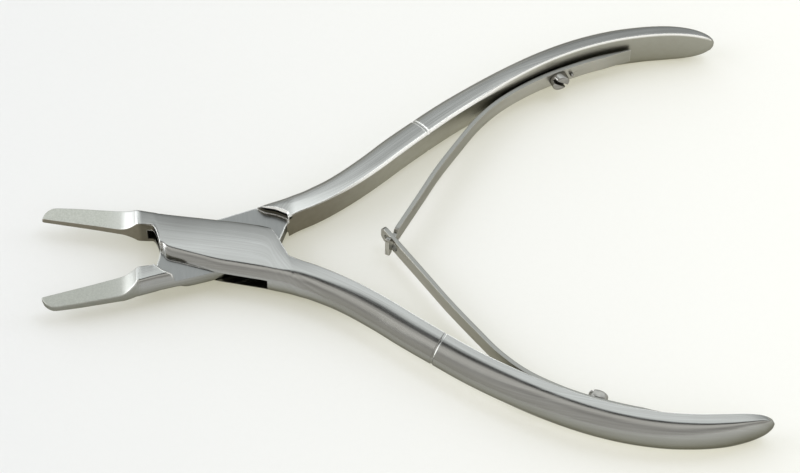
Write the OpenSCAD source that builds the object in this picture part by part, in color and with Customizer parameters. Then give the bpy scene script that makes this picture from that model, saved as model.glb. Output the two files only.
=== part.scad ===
// Box-joint hand nippers with blunt jaws, held open by two linked leaf springs.
// Millimetres. +X from the pivot towards the handle ends, along the line midway
// between them; +Z up through the flat of the box. The pivot axis is X = Y = 0 and
// Z = 0 is the underside of the box. Drawn open, as the springs hold it.

/* [Box joint] */
// thickness of the box, between its two flat faces
box_t = 7.4; // [6.5:0.1:8.5]
// thickness of the reduced tongue that passes through the box
tongue_t = 2.8; // [2.2:0.1:3.4]
// gap between the tongue and each cheek of the box
tongue_gap = 0.1; // [0.05:0.05:0.2]
// diameter of the pivot pin
pin_d = 4.4; // [3.5:0.1:5.5]
// radial running clearance of the pin in the tongue
pin_clear = 0.04; // [0.01:0.01:0.1]

/* [Springs] */
// thickness of each leaf
leaf_t = 0.9; // [0.6:0.05:1.2]
// width of each leaf
leaf_w = 4.0; // [3.2:0.1:5]
// distance from the pivot to where the two leaves cross
link_x = 35.0; // [33:0.2:38]
// angle of each leaf end to the centre line
link_angle = 57; // [50:1:62]

/* [Screws and pins] */
// diameter of a spring screw head
screw_head_d = 3.8; // [3:0.1:4.5]
// height of a spring screw head
screw_head_h = 1.8; // [1.5:0.1:3]
// diameter of a spring screw thread
screw_d = 2.0; // [1.6:0.1:2.4]
// diameter of a locating pin
peg_d = 0.7; // [0.5:0.1:1]

/* [View] */
// node to draw

/* [Hidden] */
$fn = 48;
zc = box_t/2;
eps = 0.01;
steel = [0.72, 0.72, 0.71];
steel_b = [0.62, 0.63, 0.64];
spring_c = [0.60, 0.58, 0.54];

// ---------- small vector and curve helpers ----------
function mix(a, b, t) = a + (b - a)*t;
function cr(a, b, c, d, t) =
    0.5*((2*b) + (c - a)*t + (2*a - 5*b + 4*c - d)*t*t + (3*b - a - 3*c + d)*t*t*t);
function pick(rows, i) = rows[max(0, min(len(rows) - 1, i))];
// a smooth value of the whole row at position t, where row i is met at t = i
function along(rows, t) =
    let (i = min(floor(t), len(rows) - 2), f = t - i)
    cr(pick(rows, i - 1), pick(rows, i), pick(rows, i + 1), pick(rows, i + 2), f);

// ---------- one lever as a skin over cross sections ----------
// A cross section runs in plan from side A (back of the jaw, then inside of the handle)
// to side B (face of the jaw, then outside of the handle).
// Row: [Ax, Ay, Bx, By, half thickness, ra, va, rb, vb, m]: each side has a corner
// rounded over ra (rb) across the top and va (vb) down the side; m is its fullness.
// An eleventh number raises the underside towards side A, or towards side B if it is negative.
function quarter(m1, m2, n) = [for (k = [0 : n]) let (a = 90*k/n) [1 - pow(cos(a), 2/m1), pow(sin(a), 2/m2)]];
function ease(x, x0, x1) = min(1, max(0, (x - x0)/(x1 - x0)));
// how abruptly the rounded flank starts from the top: 1.5 a distinct line, 2 an ellipse
function crease(x) = 1.5 + 0.2*ease(x, 12, 27) - 0.17*ease(x, 24, 33)*(1 - ease(x, 50, 62)) + 0.3*ease(x, 88, 99);
// top and underside are slightly crowned: highest along the middle of the box,
// and along the inner edge of the handle (w = place across the width, 0 to 1)
function crown(x, w) =
    let (c = 0.46*(1 - ease(x, 13, 26)), k = 0.03 + 0.055*ease(x, -13, -6) + 0.015*ease(x, 13, 26))
    1 - k*pow((w - c)/(1 - c), 2);
function ring(r, n) =
    let (A = [r[0], r[1]], B = [r[2], r[3]], L = norm(B - A), U = (B - A)/L, h = r[4],
         ra = min(r[5], L*0.45), va = min(r[6], h - 0.04), rb = min(r[7], L*0.8), vb = min(r[8], h - 0.04),
         qa = quarter(2, 2, n - 1), qb = quarter(rb > 0.9 ? crease(r[0]) : 2, r[9], n),
         flat = [for (f = [0.35, 0.7]) [mix(ra, L - rb, f), h]],
         uz = concat([for (k = [0 : n - 1]) [ra*qa[k][0], h - va + va*qa[k][1]]],
                     flat,
                     [for (k = [0 : n]) [L - rb*qb[n - k][0], h - vb + vb*qb[n - k][1]]],
                     [for (k = [0 : n]) [L - rb*qb[k][0], -(h - vb) - vb*qb[k][1]]],
                     [for (k = [1, 0]) [flat[k][0], -flat[k][1]]],
                     [for (k = [0 : n - 1]) [ra*qa[n - 1 - k][0], -(h - va) - va*qa[n - 1 - k][1]]]))
    [for (p = uz) [A[0] + U[0]*p[0], A[1] + U[1]*p[0], p[1]*crown(r[0], p[0]/L)*(p[1] < 0 ? 1 - (r[10] > 0 ? r[10]*(1 - p[0]/L) : -r[10]*p[0]/L) : 1)]];
module skin(rows, n) {
    rings = [for (r = rows) ring(r, n)];
    c = len(rings[0]);
    m = len(rings);
    pts = [for (r = rings) for (p = r) p];
    sides = [for (i = [0 : m - 2]) for (j = [0 : c - 1])
        let (a = i*c + j, b = i*c + (j + 1)%c, d = a + c, e = b + c) each [[a, b, e], [a, e, d]]];
    polyhedron(pts, concat([[for (j = [c - 1 : -1 : 0]) j]], sides, [[for (j = [0 : c - 1]) (m - 1)*c + j]]), convexity = 6);
}

// jaw and box, in straight steps (drawn for the lever whose jaw is at -Y)
front_rows = [
    [-33.75, -9.45, -33.85, -9.15, 0.62, 0.10, 0.20, 0.08, 0.15, 2],
    [-33.40, -10.25, -33.65, -9.08, 0.72, 0.20, 0.25, 0.10, 0.15, 2],
    [-32.50, -11.15, -32.95, -8.92, 0.75, 0.20, 0.25, 0.10, 0.15, 2],
    [-31.20, -11.60, -31.70, -8.62, 0.76, 0.20, 0.25, 0.10, 0.15, 2],
    [-28.00, -11.30, -28.00, -7.78, 0.82, 0.20, 0.25, 0.10, 0.15, 2],
    [-23.50, -10.70, -23.50, -6.75, 0.90, 0.20, 0.25, 0.10, 0.15, 2],
    [-19.00, -10.05, -19.00, -5.65, 0.98, 0.20, 0.25, 0.10, 0.15, 2],
    [-18.30, -9.95, -18.30, -5.50, 1.08, 0.25, 0.35, 0.12, 0.18, 2],
    [-17.60, -9.82, -17.60, -5.36, 1.32, 0.35, 0.60, 0.15, 0.20, 2],
    [-16.90, -9.65, -16.90, -5.22, 1.75, 0.55, 1.00, 0.18, 0.22, 2],
    [-16.20, -9.48, -16.20, -5.10, 2.35, 0.80, 1.70, 0.20, 0.25, 2],
    [-15.60, -9.33, -15.60, -5.00, 3.00, 1.05, 2.50, 0.22, 0.28, 2],
    [-15.15, -9.22, -15.15, -4.93, 3.55, 1.20, 3.20, 0.22, 0.28, 2],
    [-14.75, -9.12, -14.75, -4.88, 3.70, 1.25, 3.40, 0.20, 0.25, 2],
    [-13.20, -8.75, -13.20, -4.72, 3.70, 1.30, 3.50, 0.20, 0.25, 2],
    [-12.20, -8.50, -12.20, -4.62, 3.70, 1.30, 3.50, 0.20, 0.25, 2],
    [-11.85, -8.42, -11.70, -4.20, 3.70, 1.30, 3.50, 0.20, 0.25, 2],
    [-11.50, -8.33, -11.10, -2.70, 3.70, 1.30, 3.50, 0.20, 0.25, 2],
    [-11.10, -8.24, -10.70, -0.90, 3.70, 1.35, 3.50, 0.20, 0.25, 2],
    [-10.70, -8.14, -10.45, 0.70, 3.70, 1.35, 3.50, 1.45, 1.80, 2],
    [-10.20, -8.05, -10.05, 1.17, 3.70, 1.35, 3.50, 1.75, 2.30, 2],
    [-9.30, -7.88, -9.30, 2.43, 3.70, 1.40, 3.50, 2.32, 2.70, 2.15],
    [-6.80, -7.40, -6.80, 3.52, 3.70, 1.45, 3.50, 2.27, 3.20, 2.15],
    [-2.90, -6.65, -2.90, 5.11, 3.70, 1.50, 3.50, 2.35, 3.50, 2.15],
    [0.80, -5.85, 0.80, 6.52, 3.70, 1.50, 3.50, 2.42, 3.62, 2.15],
    [3.50, -5.30, 3.29, 7.22, 3.70, 1.50, 3.50, 2.44, 3.65, 2.15],
    [7.00, -4.45, 6.79, 8.19, 3.70, 1.50, 3.50, 2.47, 3.65, 2.15],
    [9.60, -3.70, 9.39, 8.90, 3.70, 1.40, 3.40, 2.46, 3.65, 2.15],
    [10.90, -3.00, 10.80, 9.36, 3.70, 1.00, 2.80, 2.47, 3.65, 2.15],
    [11.55, -2.20, 11.71, 9.65, 3.70, 0.45, 1.20, 2.49, 3.65, 2.15],
    [12.25, -0.90, 12.72, 9.95, 3.70, 0.28, 0.35, 2.50, 3.65, 2.15],
    [13.05, 0.90, 13.94, 10.37, 3.70, 0.25, 0.30, 2.71, 3.65, 2.15],
    [13.75, 2.55, 15.18, 10.87, 3.70, 0.25, 0.30, 3.12, 3.65, 2.15],
    [14.20, 3.65, 15.93, 11.26, 3.70, 0.25, 0.30, 3.66, 3.65, 2.1]];
// handle, as smooth curves through these rows
rear_rows = [
    [14.50, 4.30, 16.44, 11.48, 3.68, 0.25, 0.30, 3.87, 3.60, 2.1],
    [16.90, 5.60, 17.97, 12.09, 3.60, 0.25, 0.30, 3.82, 3.55, 2.2],
    [20.00, 6.95, 19.78, 13.03, 3.48, 0.25, 0.30, 3.71, 3.44, 2.3],
    [24.00, 9.05, 22.59, 14.58, 3.36, 0.25, 0.30, 3.83, 3.32, 2.4],
    [28.50, 11.85, 26.11, 16.96, 3.32, 0.25, 0.30, 4.20, 3.28, 2.5],
    [33.50, 15.50, 30.36, 20.26, 3.32, 0.25, 0.30, 4.44, 3.28, 2.5],
    [38.50, 19.50, 35.15, 24.20, 3.36, 0.25, 0.30, 4.48, 3.32, 2.5],
    [44.00, 23.70, 40.75, 28.36, 3.45, 0.25, 0.32, 4.36, 3.41, 2.4],
    [50.00, 27.98, 46.94, 32.70, 3.62, 0.25, 0.40, 4.26, 3.58, 2.3],
    [56.50, 32.10, 53.85, 36.90, 3.90, 0.28, 0.90, 3.99, 3.86, 2.2],
    [63.00, 35.85, 60.89, 40.73, 4.20, 0.32, 2.00, 3.64, 4.16, 2.1],
    [70.00, 39.25, 68.34, 44.19, 4.40, 0.38, 3.20, 3.41, 4.36, 2.1],
    [77.00, 41.80, 75.95, 46.82, 4.52, 0.42, 3.80, 3.22, 4.48, 2.1],
    [84.00, 43.45, 83.34, 48.39, 4.60, 0.45, 4.10, 2.92, 4.56, 2.1],
    [90.00, 44.20, 89.89, 48.86, 4.60, 0.45, 4.20, 2.49, 4.56, 2.1],
    [95.00, 44.40, 95.53, 48.56, 4.50, 0.45, 4.20, 2.02, 4.46, 2.1],
    [99.00, 44.35, 99.94, 47.65, 4.05, 0.45, 3.80, 1.49, 4.01, 2.1],
    [102.00, 44.35, 102.90, 46.75, 3.15, 0.40, 2.90, 1.30, 3.11, 2.2],
    [104.00, 44.60, 104.40, 45.85, 1.85, 0.25, 1.70, 0.65, 1.81, 2.2],
    [104.75, 45.00, 104.85, 45.30, 0.60, 0.06, 0.50, 0.12, 0.56, 2.2]];
groove_at = 7;
groove_half = 0.06;
groove_depth = 0.24;
// the levers differ a little near the box: each handle root sits slightly towards +Y,
// the underside of the tongue lever is ground up at the root of its jaw
root_relief = 0.65;
// and so is the lower front corner of the box
cheek_relief = 0.30;
// and the handle of the box lever bows slightly inwards behind the box
function lean(x, s) = s*0.45*exp(-pow((x - 14)/17, 2)) - (s < 0 ? 0.55*exp(-pow((x - 37)/12, 2)) : 0);
function placed(r, s) = [r[0], r[1] + lean(r[0], s), r[2], r[3] + lean(r[2], s), r[4], r[5], r[6], r[7], r[8], r[9],
    s > 0 ? root_relief*ease(r[0], -18, -15.5)*(1 - ease(r[0], -7, -5)) : -cheek_relief*(1 - ease(r[0], -12, -4))];
function grooved(r, d) =
    let (A = [r[0], r[1]], B = [r[2], r[3]], U = (B - A)/norm(B - A), C = B - U*d)
    [r[0], r[1], C[0], C[1], r[4] - d, r[5], r[6], r[7] - d*0.3, r[8] - d, r[9]];
rear_steps = concat([for (i = [0 : 0.34 : 6.8]) i],
    [groove_at - groove_half, groove_at - groove_half*0.45, groove_at, groove_at + groove_half*0.45, groove_at + groove_half],
    [for (i = [7.35 : 0.34 : 15]) i], [for (i = [15.3 : 0.3 : 18.9]) i], [19]);
function rear_row(t) =
    let (q = abs(t - groove_at)/groove_half)
    q < 0.99 ? grooved(along(rear_rows, t), groove_depth*sqrt(1 - q*q)) : along(rear_rows, t);
function lever_rows(s) = concat([for (r = front_rows) placed(r, s)], [for (t = rear_steps) placed(rear_row(t), s)]);

module forging(s) { translate([0, 0, zc]) skin(lever_rows(s), 5); }

// ---------- places on the handle, for the springs ----------
// centre line of a leaf, from its tail to where it runs straight to the link
// (both leaves are drawn as the upper one; s = +1 upper, -1 lower, which is then mirrored)
leaf_u = [cos(link_angle), sin(link_angle)];
function link(s) = [link_x, 0.4*s];
function leaf_curve(s) = concat(
    s > 0 ? [[87.2, 42.9], [81.0, 41.75]] : [[85.8, 42.65], [81.0, 41.75]],
    [[75.8, 40.25], [69.5, 37.95], [63.9, 35.2], [58.6, 31.75]],
    s > 0 ? [[54.0, 27.5], [50.15, 22.7]] : [[54.1, 27.45], [50.35, 22.55]],
    [link(s) + 18.9*leaf_u, link(s) + 11.5*leaf_u, link(s) + 4*leaf_u, link(s) - 3.5*leaf_u]);
function leaf_pts(s) = [for (t = [0 : 0.25 : 11]) along(leaf_curve(s), t)];
screw_t = 2.68;
screw_c = along(leaf_curve(1), screw_t);
screw_dir = along(leaf_curve(1), screw_t + 0.01) - along(leaf_curve(1), screw_t - 0.01);
screw_a = atan2(-screw_dir[1], -screw_dir[0]);   // direction of the handle at the screw
peg_shift = 3.0;

// local frame at the screw: X along the handle towards its end, Y into the handle
module at_screw() { translate([screw_c[0], screw_c[1], zc]) rotate([0, 0, screw_a]) children(); }
// cylinder along the local Y, from y0 to y1
module across(r, y0, y1, x = 0) { translate([x, y1, 0]) rotate([90, 0, 0]) cylinder(r = r, h = y1 - y0); }

function left_of(P, i) =
    let (p = P[max(0, i - 1)], q = P[min(len(P) - 1, i + 1)], d = (q - p)/norm(q - p)) [-d[1], d[0]];
function band(P) = concat([for (i = [0 : len(P) - 1]) P[i] + left_of(P, i)*leaf_t/2],
                          [for (i = [len(P) - 1 : -1 : 0]) P[i] - left_of(P, i)*leaf_t/2]);

// X runs along the straight end of a leaf, out past the link, and Z across its width
module at_link(s) { translate([link(s)[0], link(s)[1], zc]) rotate([0, 0, link_angle + 180]) children(); }
hw = leaf_w/2;
function arc2(c, r, a0, a1, n) = [for (i = [0 : n]) c + r*[cos(mix(a0, a1, i/n)), sin(mix(a0, a1, i/n))]];

// bent strip, cut to the outline that the leaf has when seen square on
module leaf(s, outline) {
    difference() {
        intersection() {
            translate([0, 0, zc - leaf_w]) linear_extrude(2*leaf_w) polygon(band(leaf_pts(s)));
            at_link(s) rotate([90, 0, 0]) translate([0, 0, -50]) linear_extrude(100) polygon(outline);
        }
        at_screw() {
            across(screw_d/2 + 0.15, -3, 3);
            across(peg_d/2 + 0.06, -3, 3, peg_shift);
        }
    }
}
// the lower leaf ends in a round tip with an oval slot that the other leaf hooks through
slotted_outline = concat([[-80, -hw]], arc2([1.7, -hw + 1.3], 1.3, -90, -10, 8), arc2([1.7, hw - 1.3], 1.3, 10, 90, 8), [[-80, hw]]);
slot_outline = concat(arc2([-1.1, 0], 1.25, 90, 270, 10), arc2([0.6, 0], 1.25, -90, 90, 10));
// the upper leaf ends in shoulders, a neck and a T-shaped head
head_r = 0.62;
tee_outline = concat([[-80, -hw]], arc2([-2.2, -hw + 0.5], 0.5, -90, 0, 4), [[-1.45, -0.95], [0.75, -0.95]],
    arc2([0.75 + head_r, -2.2], head_r, 180, 360, 10), arc2([0.75 + head_r, 2.2], head_r, 0, 180, 10),
    [[0.75, 0.95], [-1.45, 0.95]], arc2([-2.2, hw - 0.5], 0.5, 0, 90, 4), [[-80, hw]]);

// ---------- slot through the box and the shoulders of the tongue ----------
// plan of the space cut between the cheeks (for the box lever, whose jaw is at +Y)
slot_plan = [[-13.1, 5.6], [-13.1, -20], [9.0, -20], [10.1, -8.3], [13.95, -4.75], [16.5, -3.4], [30, 2], [30, 20], [-3.5, 20], [-9.4, 9.2]];
// everything of the tongue lever between these two shoulders is reduced to the tongue
// (for the tongue lever, whose jaw is at -Y)
tongue_plan = [[-12.0, 6], [-12.6, -3.7], [-11.2, -4.75], [-10.1, -5.75], [-8.3, -6.85], [-7.0, -8.2], [-6.2, -20],
               [17.5, -20], [14.9, 3.5], [14.7, 5.9], [12.4, 7.1], [10.3, 7.65], [8.8, 8.6], [7.0, 14], [-11, 14]];

module box_lever() {
    color(steel) difference() {
        mirror([0, 1, 0]) forging(-1);
        translate([0, 0, zc - tongue_t/2 - tongue_gap]) linear_extrude(tongue_t + 2*tongue_gap) polygon(slot_plan);
        translate([0, 0, -1]) cylinder(d = pin_d, h = box_t + 2);
        mirror([0, 1, 0]) at_screw() {
            across(screw_d/2 + 0.05, 0, 3.9);
            across(peg_d/2 + 0.05, 0, 3.0, peg_shift);
        }
    }
}
module tongue_lever() {
    color(steel_b) difference() {
        forging(1);
        for (z = [zc + tongue_t/2, -2]) translate([0, 0, z]) linear_extrude(zc - tongue_t/2 + 2) polygon(tongue_plan);
        translate([0, 0, -1]) cylinder(d = pin_d + 2*pin_clear, h = box_t + 2);
        at_screw() {
            across(screw_d/2 + 0.05, 0, 3.9);
            across(peg_d/2 + 0.05, 0, 3.0, peg_shift);
        }
    }
}

module pivot_pin() { color(steel_b) cylinder(d = pin_d, h = box_t); }

// slotted cheese-head screw, head towards the other lever
module spring_screw() {
    color(steel_b) at_screw() difference() {
        union() {
            rotate([90, 0, 0]) rotate_extrude() polygon(concat([[0, -3.7], [screw_d/2 - 0.25, -3.7], [screw_d/2, -3.4], [screw_d/2, leaf_t/2 + 0.06],
                [screw_head_d/2 - 0.12, leaf_t/2 + 0.06], [screw_head_d/2, leaf_t/2 + 0.18]],
                arc2([screw_head_d/2 - 0.35, leaf_t/2 + screw_head_h - 0.35], 0.35, 0, 90, 5), [[0, leaf_t/2 + screw_head_h]]));
        }
        rotate([0, 45, 0]) translate([-3, -leaf_t/2 - screw_head_h - 0.5, -0.4]) cube([6, 0.5 + 0.95, 0.8]);
    }
}
module locating_pin() {
    color(steel_b) at_screw() translate([peg_shift, 0, 0]) rotate([90, 0, 0]) rotate_extrude()
        polygon([[0, -2.8], [peg_d/2, -2.8], [peg_d/2, leaf_t/2 + 0.65], [peg_d/2 - 0.12, leaf_t/2 + 0.8], [0, leaf_t/2 + 0.8]]);
}
module upper_spring() { color(spring_c) leaf(1, tee_outline); }
module lower_spring() {
    color(spring_c) mirror([0, 1, 0]) difference() {
        leaf(-1, slotted_outline);
        at_link(-1) rotate([90, 0, 0]) translate([0, 0, -2]) linear_extrude(4) polygon(slot_outline);
    }
}
module upper_spring_screw() { spring_screw(); }
module lower_spring_screw() { mirror([0, 1, 0]) spring_screw(); }
module upper_spring_locating_pin() { locating_pin(); }
module lower_spring_locating_pin() { mirror([0, 1, 0]) locating_pin(); }

box_lever();
tongue_lever();
pivot_pin();
upper_spring();
lower_spring();
upper_spring_screw();
lower_spring_screw();
upper_spring_locating_pin();
lower_spring_locating_pin();
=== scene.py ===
import math
import bpy
import bmesh
import numpy as np
from mathutils import Matrix, Vector


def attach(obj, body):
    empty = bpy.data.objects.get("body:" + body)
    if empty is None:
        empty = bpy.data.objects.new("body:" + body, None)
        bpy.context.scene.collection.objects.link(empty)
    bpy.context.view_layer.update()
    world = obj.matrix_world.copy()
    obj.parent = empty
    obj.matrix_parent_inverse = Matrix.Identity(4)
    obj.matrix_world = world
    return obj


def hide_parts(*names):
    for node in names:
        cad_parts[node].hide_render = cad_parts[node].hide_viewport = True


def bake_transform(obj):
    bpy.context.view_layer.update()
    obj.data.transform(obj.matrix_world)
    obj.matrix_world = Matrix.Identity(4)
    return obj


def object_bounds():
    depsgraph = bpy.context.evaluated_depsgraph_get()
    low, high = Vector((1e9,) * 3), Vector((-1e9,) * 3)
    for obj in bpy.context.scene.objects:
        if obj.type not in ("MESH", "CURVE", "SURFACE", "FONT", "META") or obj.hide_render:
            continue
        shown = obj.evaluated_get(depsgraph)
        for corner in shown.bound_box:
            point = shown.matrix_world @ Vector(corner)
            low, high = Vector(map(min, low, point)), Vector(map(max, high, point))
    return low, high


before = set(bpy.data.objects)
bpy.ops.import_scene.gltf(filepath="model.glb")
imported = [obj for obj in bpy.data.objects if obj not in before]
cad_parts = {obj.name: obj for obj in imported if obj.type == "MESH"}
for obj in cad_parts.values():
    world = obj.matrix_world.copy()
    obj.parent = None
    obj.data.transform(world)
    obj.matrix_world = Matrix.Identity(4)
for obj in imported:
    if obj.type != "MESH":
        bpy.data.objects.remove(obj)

CAD_LO, CAD_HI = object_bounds()
MM = 0.001
ZC = 3.7
FLOOR_Z = CAD_LO[2] / MM

# ------------------------------------------------------------------ curves and sections
# The same rows as the CAD forging, in millimetres: [Ax, Ay, Bx, By, half thickness, ra, va, rb, vb, fullness]
FRONT = [
    [-33.75, -9.45, -33.85, -9.15, 0.62, 0.10, 0.20, 0.08, 0.15, 2],
    [-33.40, -10.25, -33.65, -9.08, 0.72, 0.20, 0.25, 0.10, 0.15, 2],
    [-32.50, -11.15, -32.95, -8.92, 0.75, 0.20, 0.25, 0.10, 0.15, 2],
    [-31.20, -11.60, -31.70, -8.62, 0.76, 0.20, 0.25, 0.10, 0.15, 2],
    [-28.00, -11.30, -28.00, -7.78, 0.82, 0.20, 0.25, 0.10, 0.15, 2],
    [-23.50, -10.70, -23.50, -6.75, 0.90, 0.20, 0.25, 0.10, 0.15, 2],
    [-19.00, -10.05, -19.00, -5.65, 0.98, 0.20, 0.25, 0.10, 0.15, 2],
    [-18.30, -9.95, -18.30, -5.50, 1.08, 0.25, 0.35, 0.12, 0.18, 2],
    [-17.60, -9.82, -17.60, -5.36, 1.32, 0.35, 0.60, 0.15, 0.20, 2],
    [-16.90, -9.65, -16.90, -5.22, 1.75, 0.55, 1.00, 0.18, 0.22, 2],
    [-16.20, -9.48, -16.20, -5.10, 2.35, 0.80, 1.70, 0.20, 0.25, 2],
    [-15.60, -9.33, -15.60, -5.00, 3.00, 1.05, 2.50, 0.22, 0.28, 2],
    [-15.15, -9.22, -15.15, -4.93, 3.55, 1.20, 3.20, 0.22, 0.28, 2],
    [-14.75, -9.12, -14.75, -4.88, 3.70, 1.25, 3.40, 0.20, 0.25, 2],
    [-13.20, -8.75, -13.20, -4.72, 3.70, 1.30, 3.50, 0.20, 0.25, 2],
    [-12.20, -8.50, -12.20, -4.62, 3.70, 1.30, 3.50, 0.20, 0.25, 2],
    [-11.85, -8.42, -11.70, -4.20, 3.70, 1.30, 3.50, 0.20, 0.25, 2],
    [-11.50, -8.33, -11.10, -2.70, 3.70, 1.30, 3.50, 0.20, 0.25, 2],
    [-11.10, -8.24, -10.70, -0.90, 3.70, 1.35, 3.50, 0.20, 0.25, 2],
    [-10.70, -8.14, -10.45, 0.70, 3.70, 1.35, 3.50, 1.45, 1.80, 2],
    [-10.20, -8.05, -10.05, 1.17, 3.70, 1.35, 3.50, 1.75, 2.30, 2],
    [-9.30, -7.88, -9.30, 2.43, 3.70, 1.40, 3.50, 2.32, 2.70, 2.15],
    [-6.80, -7.40, -6.80, 3.52, 3.70, 1.45, 3.50, 2.27, 3.20, 2.15],
    [-2.90, -6.65, -2.90, 5.11, 3.70, 1.50, 3.50, 2.35, 3.50, 2.15],
    [0.80, -5.85, 0.80, 6.52, 3.70, 1.50, 3.50, 2.42, 3.62, 2.15],
    [3.50, -5.30, 3.29, 7.22, 3.70, 1.50, 3.50, 2.44, 3.65, 2.15],
    [7.00, -4.45, 6.79, 8.19, 3.70, 1.50, 3.50, 2.47, 3.65, 2.15],
    [9.60, -3.70, 9.39, 8.90, 3.70, 1.40, 3.40, 2.46, 3.65, 2.15],
    [10.90, -3.00, 10.80, 9.36, 3.70, 1.00, 2.80, 2.47, 3.65, 2.15],
    [11.55, -2.20, 11.71, 9.65, 3.70, 0.45, 1.20, 2.49, 3.65, 2.15],
    [12.25, -0.90, 12.72, 9.95, 3.70, 0.28, 0.35, 2.50, 3.65, 2.15],
    [13.05, 0.90, 13.94, 10.37, 3.70, 0.25, 0.30, 2.71, 3.65, 2.15],
    [13.75, 2.55, 15.18, 10.87, 3.70, 0.25, 0.30, 3.12, 3.65, 2.15],
    [14.20, 3.65, 15.93, 11.26, 3.70, 0.25, 0.30, 3.66, 3.65, 2.1]]
REAR = [
    [14.50, 4.30, 16.44, 11.48, 3.68, 0.25, 0.30, 3.87, 3.60, 2.1],
    [16.90, 5.60, 17.97, 12.09, 3.60, 0.25, 0.30, 3.82, 3.55, 2.2],
    [20.00, 6.95, 19.78, 13.03, 3.48, 0.25, 0.30, 3.71, 3.44, 2.3],
    [24.00, 9.05, 22.59, 14.58, 3.36, 0.25, 0.30, 3.83, 3.32, 2.4],
    [28.50, 11.85, 26.11, 16.96, 3.32, 0.25, 0.30, 4.20, 3.28, 2.5],
    [33.50, 15.50, 30.36, 20.26, 3.32, 0.25, 0.30, 4.44, 3.28, 2.5],
    [38.50, 19.50, 35.15, 24.20, 3.36, 0.25, 0.30, 4.48, 3.32, 2.5],
    [44.00, 23.70, 40.75, 28.36, 3.45, 0.25, 0.32, 4.36, 3.41, 2.4],
    [50.00, 27.98, 46.94, 32.70, 3.62, 0.25, 0.40, 4.26, 3.58, 2.3],
    [56.50, 32.10, 53.85, 36.90, 3.90, 0.28, 0.90, 3.99, 3.86, 2.2],
    [63.00, 35.85, 60.89, 40.73, 4.20, 0.32, 2.00, 3.64, 4.16, 2.1],
    [70.00, 39.25, 68.34, 44.19, 4.40, 0.38, 3.20, 3.41, 4.36, 2.1],
    [77.00, 41.80, 75.95, 46.82, 4.52, 0.42, 3.80, 3.22, 4.48, 2.1],
    [84.00, 43.45, 83.34, 48.39, 4.60, 0.45, 4.10, 2.92, 4.56, 2.1],
    [90.00, 44.20, 89.89, 48.86, 4.60, 0.45, 4.20, 2.49, 4.56, 2.1],
    [95.00, 44.40, 95.53, 48.56, 4.50, 0.45, 4.20, 2.02, 4.46, 2.1],
    [99.00, 44.35, 99.94, 47.65, 4.05, 0.45, 3.80, 1.49, 4.01, 2.1],
    [102.00, 44.35, 102.90, 46.75, 3.15, 0.40, 2.90, 1.30, 3.11, 2.2],
    [104.00, 44.60, 104.40, 45.85, 1.85, 0.25, 1.70, 0.65, 1.81, 2.2],
    [104.75, 45.00, 104.85, 45.30, 0.60, 0.06, 0.50, 0.12, 0.56, 2.2]]
FRONT = np.array(FRONT, float)
REAR = np.array(REAR, float)
GROOVE_AT, GROOVE_HALF, GROOVE_DEPTH = 7.0, 0.045, 0.17


def along(rows, t):
    """Catmull-Rom through the rows, row i at t = i, as the CAD does it."""
    n = len(rows)
    i = min(int(math.floor(t)), n - 2)
    f = t - i
    a, b, c, d = (rows[max(0, min(n - 1, i + k))] for k in (-1, 0, 1, 2))
    return 0.5 * (2 * b + (c - a) * f + (2 * a - 5 * b + 4 * c - d) * f * f + (3 * b - a - 3 * c + d) * f ** 3)


def monotone(rows, t):
    """Monotone cubic through the rows, so straight steps stay straight and nothing overshoots."""
    n = len(rows)
    i = min(int(math.floor(t)), n - 2)
    f = t - i
    d = rows[1:] - rows[:-1]

    def slope(k):
        if k <= 0 or k >= n - 1:
            return d[min(max(k, 0), n - 2)] * 0.6
        a, b = d[k - 1], d[k]
        with np.errstate(divide="ignore", invalid="ignore"):
            h = np.where(a * b > 0, 2 * a * b / (a + b), 0.0)
        return h
    m0, m1 = slope(i), slope(i + 1)
    p0, p1 = rows[i], rows[i + 1]
    f2, f3 = f * f, f ** 3
    return (2 * f3 - 3 * f2 + 1) * p0 + (f3 - 2 * f2 + f) * m0 + (-2 * f3 + 3 * f2) * p1 + (f3 - f2) * m1


def ease(x, x0, x1):
    return min(1.0, max(0.0, (x - x0) / (x1 - x0)))


def lean(x, s):
    return s * 0.45 * math.exp(-((x - 14) / 17) ** 2) - (0.55 * math.exp(-((x - 37) / 12) ** 2) if s < 0 else 0.0)


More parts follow.
